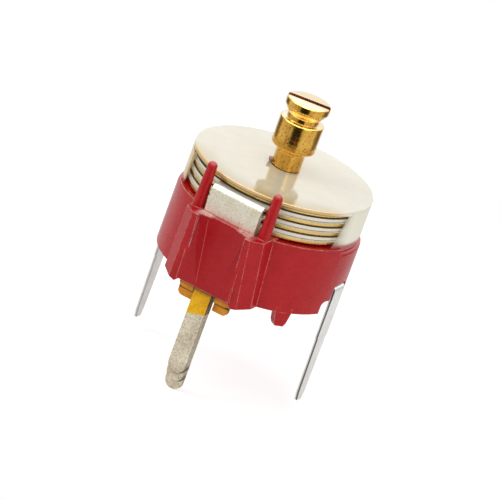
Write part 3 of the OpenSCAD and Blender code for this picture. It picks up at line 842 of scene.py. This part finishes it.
def red_colour(tree):
    """Cloudy red, with painted shade in the slot's wall and painted highlights on edges, tips and rim."""
    place = place_mm(tree)
    red = blend_colour(tree, ranged(tree, grain(tree, 1.5), 0, 1), RED, RED_CLOUD)
    red = blend_colour(tree, ranged(tree, grain(tree, 9, 1.8), 0.0, 0.5), red, RED_GRAIN)
    red = blend_colour(tree, specks(tree, 12, 0.35), red, RED_FLECK)
    # painted shade darkens the slot's recessed wall
    red = blend_colour(tree, wall_shade(tree, place), red, RED_WALL_SHADE)
    # paler edges: partly handling wear, partly a painted highlight
    red = blend_colour(tree, times(tree, edge_wear_and_highlight(tree, 24.0), 0.9), red, EDGE_WEAR_AND_HIGHLIGHT_PINK)
    # painted highlight on the tips of the posts
    tips = fade(tree, place["Z"], POST_TOP - TIP_HEIGHT, POST_TOP)
    tips = times(tree, tips, ranged(tree, grain(tree, 3, 1.6), 0.1, 0.6))
    red = blend_colour(tree, tips, red, TIP_HIGHLIGHT_PINK)
    # painted highlight on the rim of the slot's wall
    return blend_colour(tree, rim_highlight(tree, place), red, RIM_HIGHLIGHT_WHITE)


print("tops of the posts in mm:", round(POST_TOP, 2))

# %% Red finishes
LINE_RED, LINE_PINK = colour(196, 64, 66), colour(214, 104, 100)

red_moulding = finish(
    "red_moulding", red_colour, lambda tree: ranged(tree, grain(tree, 5), 0.2, 0.34),
    lambda tree: grain(tree, 9), 0.004, edge_mm=0.07, Specular_IOR_Level=0.3)
line_red = finish("mould_line_red", cloudy(LINE_RED, LINE_PINK, 4), 0.3, None, 0)

# %% [markdown]
# ## Metals
# The spindle is free-cutting brass straight from the lathe: fine rings and a few tarnish stains,
# with a painted highlight that makes its end faces paler, most at the front. Its look comes mostly
# from what it mirrors, so its roughness is low and changes with the tool marks. The rotor vanes are
# rolled sheet, smoother and lighter. The burr at the spindle's foot is a darker brass. The spring
# washer is plain steel.

# %% Brass colour
BRASS, BRASS_LIGHT = colour(224, 172, 72), colour(248, 206, 104)
BRASS_STAIN, BRASS_SPECK = colour(198, 134, 54), colour(164, 104, 42)
END_FACE_HIGHLIGHT_NEAR, END_FACE_HIGHLIGHT_FAR = colour(188, 181, 158), colour(172, 155, 118)


def brass_colour(tree):
    """Warm brass, cloudy, with a painted highlight that makes the end faces paler, most at the front."""
    side = blend_colour(tree, ranged(tree, grain(tree, 3), 0, 1), BRASS, BRASS_LIGHT)
    stains = times(tree, ranged(tree, grain(tree, 2.2, 1.6), 0.0, 1.0), 0.5)
    side = blend_colour(tree, stains, side, BRASS_STAIN)
    side = blend_colour(tree, times(tree, specks(tree, 8, 0.6), 0.7), side, BRASS_SPECK)
    # painted highlight: the end faces are paler, most towards the front
    across = fade(tree, place_mm(tree)["Y"], -0.5, 0.4)
    end_face_highlight = blend_colour(tree, across, END_FACE_HIGHLIGHT_NEAR, END_FACE_HIGHLIGHT_FAR)
    return blend_colour(tree, fade(tree, facing(tree, "Z"), 0.8, 0.97), side, end_face_highlight)


turned_brass = finish(
    "turned_brass", brass_colour, lambda tree: ranged(tree, marks(tree, 8), 0.1, 0.24),
    lambda tree: marks(tree, 14), 0.002, Metallic=1.0)

# %% Plain metals
DARK_BRASS, DARK_BRASS_LIGHT = colour(62, 40, 26), colour(120, 78, 42)
SHEET_BRASS, SHEET_BRASS_LIGHT = colour(218, 178, 98), colour(246, 218, 142)
STEEL, STEEL_LIGHT = colour(150, 150, 154), colour(176, 176, 180)

dark_brass = finish(
    "dark_foot_brass", cloudy(DARK_BRASS, DARK_BRASS_LIGHT, 6), 0.3, lambda tree: grain(tree, 12), 0.004,
    Metallic=1.0)
sheet_brass = finish(
    "vane_brass", cloudy(SHEET_BRASS, SHEET_BRASS_LIGHT, 2),
    lambda tree: ranged(tree, grain(tree, 4), 0.2, 0.35), lambda tree: grain(tree, 12), 0.002,
    edge_mm=0.08, Metallic=1.0)
steel = finish(
    "spring_steel", cloudy(STEEL, STEEL_LIGHT, 2), 0.25, lambda tree: grain(tree, 12), 0.002, Metallic=1.0)

# %% [markdown]
# ## Tabs and stator pin
# The stator's three tabs are silvered brass sheets that lie on each other, their pins dipped in
# tin. So one sheet shows three metals: dull silver above the base, bare warm brass at the root, and
# mottled tin below a wavy, slanting line. Thin lines of painted shade stand for the shadow where one
# layer ends on the next. They are too fine to model apart, so the colour draws them from the layers'
# pitch and outlines.

# %% Tab seams
LAYER_PITCH, LAYERS_FROM = 0.21, 4.84
LAYER_GAP = (0.6, 0.98)
INNER_SHEETS_Y = -5.1
SHOULDER_Z, SHOULDER_SEAM = 0.26, 0.14
TIPS, PIN_HALF, TIP_SEAM = (-4.23, -4.77), 0.515, 0.06
SIDE_ON = 0.6


def tip_seam_shade(tree, place, tip):
    """Painted shade round one layer's round tip: a half ring about the tip's centre."""
    drop = maths(tree, "SUBTRACT", place["Z"], tip + PIN_HALF)
    square = maths(tree, "ADD", maths(tree, "POWER", place["X"], 2.0), maths(tree, "POWER", drop, 2.0))
    ring = between(tree, maths(tree, "SQRT", square), PIN_HALF, PIN_HALF + TIP_SEAM, 0.02)
    return times(tree, ring, below(tree, drop, 0.0))


def seam_shade(tree, place):
    """Painted shade where one tab layer ends on the next: gaps at the sides, shoulders and round tips."""
    behind_face = maths(tree, "SUBTRACT", times(tree, place["Y"], -1.0), LAYERS_FROM)
    layer = maths(tree, "DIVIDE", behind_face, LAYER_PITCH)
    gaps = between(tree, maths(tree, "FRACT", layer), *LAYER_GAP, 0.06)
    sides = times(tree, gaps, above(tree, facing(tree, "X"), SIDE_ON), above(tree, layer, 0.0))
    shoulder = between(tree, place["Z"], SHOULDER_Z - SHOULDER_SEAM, SHOULDER_Z, 0.02)
    shoulder = times(tree, above(tree, place["Y"], INNER_SHEETS_Y), shoulder)
    seams = maths(tree, "MAXIMUM", sides, shoulder)
    for tip in TIPS:
        seams = maths(tree, "MAXIMUM", seams, tip_seam_shade(tree, place, tip))
    return seams


print("layers of the tab are", LAYER_PITCH, "mm apart")

# %% Silvered part of a tab
SILVER, SILVER_LIGHT, SILVER_SPECK = colour(230, 222, 192), colour(255, 254, 242), colour(206, 190, 156)
FOLD_HIGHLIGHT, FOLD_TOP_SHADE, VANE_RIM_PAINTED_LIGHT = colour(255, 254, 250), colour(206, 204, 196), colour(240, 232, 216)
FOLD_HEIGHTS = (6.2, 6.4)
VANE_EDGE_Y = -4.83


def silvered_colour(tree, place, mottled, spots):
    """Silvered sheet, with a painted highlight on its fold, painted shade on top, painted light on vane edges.
    """
    silver = blend_colour(tree, mottled, SILVER, SILVER_LIGHT)
    silver = blend_colour(tree, spots, silver, SILVER_SPECK)
    # painted highlight along the fold
    fold = between(tree, place["Z"], *FOLD_HEIGHTS, 0.06)
    silver = blend_colour(tree, times(tree, fold, below(tree, place["Y"], INNER_SHEETS_Y)), silver, FOLD_HIGHLIGHT)
    # painted shade on the faces that look up
    silver = blend_colour(tree, fade(tree, facing(tree, "Z"), 0.45, 0.75), silver, FOLD_TOP_SHADE)
    # painted light that lifts the vanes' edges
    edge_on = between(tree, facing(tree, "Z"), -1.0, 0.3, 0.1)
    return blend_colour(tree, times(tree, edge_on, above(tree, place["Y"], VANE_EDGE_Y)), silver, VANE_RIM_PAINTED_LIGHT)


print("the fold is brightest at", FOLD_HEIGHTS, "mm")

# %% Whole tab
ROOT, ROOT_LIGHT = colour(222, 154, 10), colour(252, 200, 30)
WING, WING_LIGHT = colour(214, 134, 28), colour(238, 164, 52)
TIN, TIN_LIGHT, TIN_SPECK = colour(188, 173, 146), colour(242, 233, 210), colour(178, 160, 128)
WALL_SHADE_BROWN, SIDE_SHADE_BROWN, SEAM_SHADE_BROWN = colour(104, 58, 18), colour(64, 38, 16), colour(52, 38, 20)
WING_SPAN = (PIN_HALF + 0.03, 3.0)
TIN_TOP, TIN_SLANT, TIN_WAVE = -0.72, -0.28, 0.06
WALL_FOOT, WALL_INSIDE = (0.4, 0.62), (1.6, 1.9)


def tab_colour(tree):
    """Silvered sheet above, bare brass at the pin's root, tin on the pin; painted shade at wall, sides, seams.
    """
    place = place_mm(tree)
    spots = specks(tree, 13, 0.5)
    mottled = ranged(tree, grain(tree, 7, 1.8), 0, 1)
    root = blend_colour(tree, mottled, ROOT, ROOT_LIGHT)
    wings = blend_colour(tree, mottled, WING, WING_LIGHT)
    bare = blend_colour(tree, between(tree, maths(tree, "ABSOLUTE", place["X"]), *WING_SPAN, 0.02), root, wings)
    tinned = blend_colour(tree, mottled, TIN, TIN_LIGHT)
    tinned = blend_colour(tree, spots, tinned, TIN_SPECK)
    slanted = maths(tree, "ADD", place["Z"], times(tree, place["X"], TIN_SLANT))
    wavy = maths(tree, "ADD", slanted, times(tree, ranged(tree, grain(tree, 2), 0, 1), TIN_WAVE))
    above_tin = fade(tree, wavy, TIN_TOP - 0.02, TIN_TOP + 0.04)
    lower = blend_colour(tree, above_tin, tinned, bare)
    # painted shade on the sheet, deepening towards the front wall's foot
    lower = blend_colour(tree, times(tree, fade(tree, place["Z"], *WALL_FOOT), 0.8), lower, WALL_SHADE_BROWN)
    above_wall = fade(tree, place["Z"], *WALL_INSIDE)
    whole = blend_colour(tree, above_wall, lower, silvered_colour(tree, place, mottled, spots))
    # painted shade on the pin's sides between the tin and the wall
    side_shade = times(tree, above(tree, facing(tree, "X"), SIDE_ON), above_tin)
    side_shade = times(tree, side_shade, maths(tree, "SUBTRACT", 1.0, above_wall), 0.95)
    whole = blend_colour(tree, side_shade, whole, SIDE_SHADE_BROWN)
    # painted shade in the seams between the layers
    return blend_colour(tree, times(tree, seam_shade(tree, place), 0.85), whole, SEAM_SHADE_BROWN)


tab_sheet = finish(
    "tab_sheet", tab_colour, lambda tree: ranged(tree, grain(tree, 4), 0.34, 0.55),
    lambda tree: grain(tree, 11), 0.006, edge_mm=0.03, Metallic=0.55)

# %% [markdown]
# ## Rotor pins
# The rotor's pins are brighter tin. The punch that cut them left a dark burr along one side of each
# cut edge. It is too fine to model, so the colour draws it as a line.

# %% Rotor pins
PIN_TIN, PIN_TIN_LIGHT = colour(226, 226, 222), colour(252, 252, 249)
BURR_DARK, HEAD_SHADE_RED = colour(74, 58, 46), colour(84, 34, 34)
RIGHT_BURR, LEFT_BURR, BURR_SOFT = (5.075, 5.3), (-5.085, -4.9), 0.01
PIN_OUTSIDE = 4.9


def pin_colour(tree):
    """Bright tin, a dark punch burr on one side of each cut edge, and painted shade on the head tops."""
    bright = blend_colour(tree, ranged(tree, grain(tree, 4, 1.5), 0, 1), PIN_TIN, PIN_TIN_LIGHT)
    place = place_mm(tree)
    right = between(tree, place["X"], *RIGHT_BURR, BURR_SOFT)
    left = times(tree, between(tree, place["X"], *LEFT_BURR, BURR_SOFT), 0.55)
    cut_edge = above(tree, facing(tree, "Y"), SIDE_ON)
    burr_line = times(tree, maths(tree, "MAXIMUM", left, right), cut_edge, 0.9)
    burred = blend_colour(tree, burr_line, bright, BURR_DARK)
    # painted shade, tinted red, on the head tops under the housing
    head_top_shade = fade(tree, facing(tree, "Z"), 0.7, 0.9)
    outer = above(tree, maths(tree, "ABSOLUTE", place["X"]), PIN_OUTSIDE)
    return blend_colour(tree, times(tree, head_top_shade, outer), burred, HEAD_SHADE_RED)


tinned_sheet = finish(
    "tinned_sheet", pin_colour, lambda tree: ranged(tree, grain(tree, 4), 0.25, 0.45),
    lambda tree: grain(tree, 10), 0.004, Metallic=0.45)

# %% [markdown]
# ## Cover's plastic
# The cover is thin milky plastic, dull on its skirt and polished on its disc, where the spindle is
# mirrored. Its colour carries painted light: the skirt is paler than the disc, a ring over the vanes
# and a line under the rim are painted shade, and painted gold and red stand for the brass vanes and
# the red base seen through its rim and foot. It hides most of what lies behind it, less so near its
# window, and lets more light through than it shows, which keeps the stack inside from going black.
# Real milky plastic scatters light inside itself, but at this thickness a partly clear surface looks
# the same and renders in a fraction of the time.

# %% Milky colour
DISC, DISC_LIGHT, SKIRT_PAINTED_LIGHT = colour(208, 201, 176), colour(224, 218, 196), colour(250, 246, 226)
RING_SHADE, RIM_PAINTED_GOLD = colour(186, 170, 118), colour(222, 176, 88)
RIM_SHADOW_BROWN, FOOT_PAINTED_RED = colour(84, 54, 24), colour(170, 34, 38)
RING_RADII, RIM_RADII = (3.7, 4.5), (4.3, 4.99)
UNDER_RIM = (6.5, RIM_UNDER + 0.035)
BASE_RIM_Z, RED_FADE = 4.72, 0.2
TINT_FROM, TINT_TO, TINT_SOFT = WINDOW[0] - 4, WINDOW[1] - 12, 8.0


def window_angle(tree):
    """Degrees round Z at which a point stands, from -180 to 180, as the window's edges are given."""
    place = place_mm(tree)
    return maths(tree, "MULTIPLY", maths(tree, "ARCTAN2", place["Y"], place["X"]), 180 / math.pi)


def milky_colour(tree):
    """Milky white with painted light: a paler skirt, shade, and brass and red seen through."""
    disc = blend_colour(tree, ranged(tree, grain(tree, 1), 0, 1), DISC, DISC_LIGHT)
    # painted light: the skirt's sides are paler than the disc
    milk = blend_colour(tree, facing(tree, "Z"), SKIRT_PAINTED_LIGHT, disc)
    place = place_mm(tree)
    square = maths(tree, "ADD", maths(tree, "POWER", place["X"], 2.0), maths(tree, "POWER", place["Y"], 2.0))
    radius = maths(tree, "SQRT", square)
    front = between(tree, window_angle(tree), TINT_FROM, TINT_TO, TINT_SOFT)
    milk = blend_colour(tree, times(tree, fade(tree, radius, *RING_RADII), front, 0.4), milk, RING_SHADE)
    # painted gold for the brass vanes seen through the rim
    gold = maths(tree, "POWER", fade(tree, radius, *RIM_RADII), 2.0)
    milk = blend_colour(tree, times(tree, gold, front, 0.9), milk, RIM_PAINTED_GOLD)
    # painted shadow line under the rim, over the window
    under = between(tree, place["Z"], *UNDER_RIM, 0.012)
    milk = blend_colour(tree, times(tree, under, front, 0.9), milk, RIM_SHADOW_BROWN)
    # painted red for the base seen through the skirt's foot
    return blend_colour(tree, fade(tree, place["Z"], BASE_RIM_Z + RED_FADE, BASE_RIM_Z), milk, FOOT_PAINTED_RED)


def milky_roughness(tree):
    """The disc shines as the mould's polished face does; the skirt is duller."""
    return fade(tree, facing(tree, "Z"), 0.5, 0.9, 0.4, 0.07)


milky = finish(
    "milky_cover", milky_colour, milky_roughness, lambda tree: grain(tree, 0.6), 0.004, IOR=2.0)

# %% How much the cover hides
EDGE_FADE = 9.0
FULL, DISC_FULL = 0.94, 0.88
SKIRT_FROM, SKIRT_FULL = 6.62, 6.55
FOOT_FADE = 0.1
LIGHT_THROUGH = 0.6


def skirt_alpha(tree):
    """How much the skirt hides: less close to the window, and almost nothing in its leaning side."""
    middle, half = sum(WINDOW) / 2, (WINDOW[1] - WINDOW[0]) / 2
    from_middle = maths(tree, "ABSOLUTE", maths(tree, "SUBTRACT", window_angle(tree), middle))
    beyond = maths(tree, "SUBTRACT", from_middle, half)
    at_right = fade(tree, beyond, -WINDOW_SLANT, EDGE_FADE / 2, 0.0, FULL)
    at_left = fade(tree, beyond, 0.0, 3 * EDGE_FADE, DISC_FULL, FULL)
    left = below(tree, place_mm(tree)["X"], 0.0)
    return add(tree, "Mix", {0: left, 2: at_right, 3: at_left}).outputs[0]


def milky_alpha(tree):
    """Hides nearly all to the eye, and less to light: skirt, disc and foot, times what light loses."""
    height = place_mm(tree)["Z"]
    skirt = fade(tree, height, SKIRT_FROM, SKIRT_FULL)
    disc = times(tree, maths(tree, "SUBTRACT", 1.0, skirt), DISC_FULL)
    whole = maths(tree, "ADD", times(tree, skirt, skirt_alpha(tree)), disc)
    foot = fade(tree, height, BASE_RIM_Z + FOOT_FADE, BASE_RIM_Z)
    whole = maths(tree, "MAXIMUM", whole, foot)
    path = add(tree, "LightPath").outputs
    lighting = maths(tree, "MAXIMUM", path["Is Shadow Ray"], path["Is Diffuse Ray"])
    return times(tree, whole, maths(tree, "SUBTRACT", 1.0, times(tree, lighting, LIGHT_THROUGH)))


milky_tree = milky.node_tree
milky_tree.links.new(milky_alpha(milky_tree), milky_tree.nodes["Principled BSDF"].inputs["Alpha"])
print("the cover hides", FULL, "of what lies behind its skirt and", DISC_FULL, "behind its disc")

# %% [markdown]
# ## Films
# The films between the vanes are clear, and look pale where light reaches them and dark where not.
# That light and shade are painted: a pale lit finish, and a dark shaded one on every second film.
# Six glass-clear sheets would take many light bounces, so each film is a partly clear tint.

# %% Films
SHADED, SHADED_LIGHT = colour(70, 52, 26), colour(96, 74, 42)
LIT, LIT_LIGHT = colour(226, 216, 190), colour(240, 234, 214)
FILM_ALPHA = 0.75

shaded_film = finish("shaded_film", cloudy(SHADED, SHADED_LIGHT, 3), 0.2, None, 0, Alpha=FILM_ALPHA)
lit_film = finish("lit_film", cloudy(LIT, LIT_LIGHT, 3), 0.12, None, 0, Alpha=FILM_ALPHA)

# %% [markdown]
# ## Dressing the pieces
# Each imported node names a material slot, so one table gives every node its finish. The new pieces
# get theirs by name, and every second film gets the painted shade.

# %% Dressing
FINISHES = {
    "red_plastic": red_moulding, "milky_plastic": milky, "brass": turned_brass, "vane_brass": sheet_brass,
    "silvered": tab_sheet, "tinned": tinned_sheet, "clear_film": lit_film, "spring_steel": steel}
NEW_PIECES = ((spindle, turned_brass), (burr, dark_brass), (cover, milky), (mould_line, line_red))
SHADED_FILMS = (2, 4, 6)

slot_of = {sub["node"]: sub["material_slot"] for sub in frame["record"]["subparts"]}
for name, node in nodes.items():
    for index in range(len(node.material_slots)):
        node.material_slots[index].material = FINISHES[slot_of[name]]
for number in SHADED_FILMS:
    nodes[f"dielectric_film_{number}"].material_slots[0].material = shaded_film
for piece, material in NEW_PIECES:
    piece.data.materials.clear()
    piece.data.materials.append(material)
print("dressed", len(nodes), "nodes and", len(NEW_PIECES), "new pieces")

# %% [markdown]
# ## View transform
# Standard view keeps each colour as it was written.

# %% Finish
bpy.context.scene.view_settings.view_transform = "Standard"
